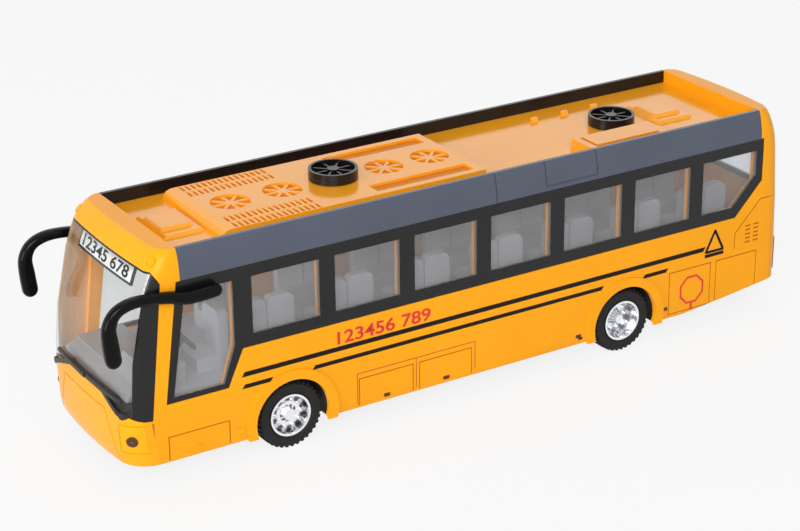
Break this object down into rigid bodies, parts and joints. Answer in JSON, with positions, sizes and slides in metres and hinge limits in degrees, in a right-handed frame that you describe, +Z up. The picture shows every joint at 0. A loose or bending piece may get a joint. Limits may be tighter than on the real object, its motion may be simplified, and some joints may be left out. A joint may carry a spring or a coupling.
{
  "type": "toy coach",
  "caption": "Toy coach on rolling axles with a friction drive, spoked roof fans that spin, a sprung sound button on the roof, clear windows and a seated cabin.",
  "frame": {"origin": "on the ground under the middle of the object's bounding box", "axes": "+X forward, +Y to the coach's left, +Z up"},
  "size_m": [0.3603, 0.0902, 0.1084],
  "materials": {
    "yellow_body": "glossy moulded ABS",
    "yellow_roof": "glossy moulded ABS",
    "slate": "glossy moulded ABS",
    "glazing": "clear polystyrene",
    "black_trim": "satin black plastic",
    "sign_white": "white card-like plastic",
    "red_lens": "red lens",
    "green_board": "glass-fibre board",
    "seat_grey": "grey moulded plastic",
    "dash_grey": "grey moulded plastic",
    "chassis_black": "black moulded plastic",
    "speaker_black": "paper cone and frame",
    "steel": "plated steel",
    "flywheel_iron": "bare metal",
    "gear_white": "white acetal",
    "contact_brass": "bare strip",
    "lamp_clear": "clear lamp",
    "chrome_rim": "chrome-plated plastic",
    "tyre": "black rubber"
  },
  "bodies": {
    "coach": {"body_shell": "yellow_body", "roof_panel": "yellow_roof", "roof_cove_left": "slate", "roof_cove_right": "slate", "windshield": "glazing", "windshield_frame": "black_trim", "sign_board": "sign_white", "window_frame_left": "black_trim", "window_frame_right": "black_trim", "window_panes_left": "glazing", "window_panes_right": "glazing", "rear_window": "glazing", "rear_window_frame": "black_trim", "tail_light_left": "red_lens", "tail_light_right": "red_lens", "mirror_left": "black_trim", "mirror_right": "black_trim", "wiper_left": "black_trim", "wiper_right": "black_trim", "button_board": "green_board", "seat_tray": "seat_grey", "dashboard": "dash_grey", "steering_wheel": "black_trim", "chassis": "chassis_black", "gearbox_left": "gear_white", "gearbox_right": "gear_white", "circuit_board": "green_board", "speaker": "speaker_black", "battery_cells": "steel", "battery_contacts": "contact_brass", "battery_door": "chassis_black", "battery_door_screw": "steel", "body_screws": "steel", "gearbox_screws": "steel", "headlight_leds": "lamp_clear"},
    "front_axle": {"front_axle": "steel", "rim_front_left": "chrome_rim", "rim_front_right": "chrome_rim", "tyre_front_left": "tyre", "tyre_front_right": "tyre"},
    "rear_axle": {"rear_axle": "steel", "axle_gear": "gear_white", "rim_rear_left": "chrome_rim", "rim_rear_right": "chrome_rim", "tyre_rear_left": "tyre", "tyre_rear_right": "tyre"},
    "idler": {"idler_gear": "gear_white", "idler_shaft": "steel"},
    "flywheel": {"flywheel": "flywheel_iron", "flywheel_pinion": "gear_white", "flywheel_shaft": "steel"},
    "fan_front": {"roof_fan_front": "black_trim"},
    "fan_rear": {"roof_fan_rear": "black_trim"},
    "button": {"sound_button": "yellow_roof"}
  },
  "joints": [
    {"name": "front_axle_spin", "type": "hinge", "parent": "coach", "child": "front_axle", "pos_m": [0.0938, 0, 0.0156], "axis": [0, 1, 0], "continuous": true},
    {"name": "rear_axle_spin", "type": "hinge", "parent": "coach", "child": "rear_axle", "pos_m": [-0.0847, 0, 0.0156], "axis": [0, 1, 0], "continuous": true},
    {"name": "idler_spin", "type": "hinge", "parent": "coach", "child": "idler", "pos_m": [-0.07995, 0, 0.02383], "axis": [0, 1, 0], "continuous": true},
    {"name": "flywheel_spin", "type": "hinge", "parent": "coach", "child": "flywheel", "pos_m": [-0.06999, 0, 0.0247], "axis": [0, 1, 0], "continuous": true},
    {"name": "fan_front_spin", "type": "hinge", "parent": "coach", "child": "fan_front", "pos_m": [0.04834, 0, 0.1033], "axis": [0, 0, 1], "continuous": true},
    {"name": "fan_rear_spin", "type": "hinge", "parent": "coach", "child": "fan_rear", "pos_m": [-0.1037, 0, 0.0989], "axis": [0, 0, 1], "continuous": true},
    {"name": "button_press", "type": "slide", "parent": "coach", "child": "button", "axis": [0, 0, -1], "range_m": [0, 0.0015], "stiffness_N_per_m": 500}
  ],
  "couplings": [
    {"joint": "idler_spin", "follows": "rear_axle_spin", "ratio": -2.1667},
    {"joint": "flywheel_spin", "follows": "rear_axle_spin", "ratio": 5.0556}
  ]
}
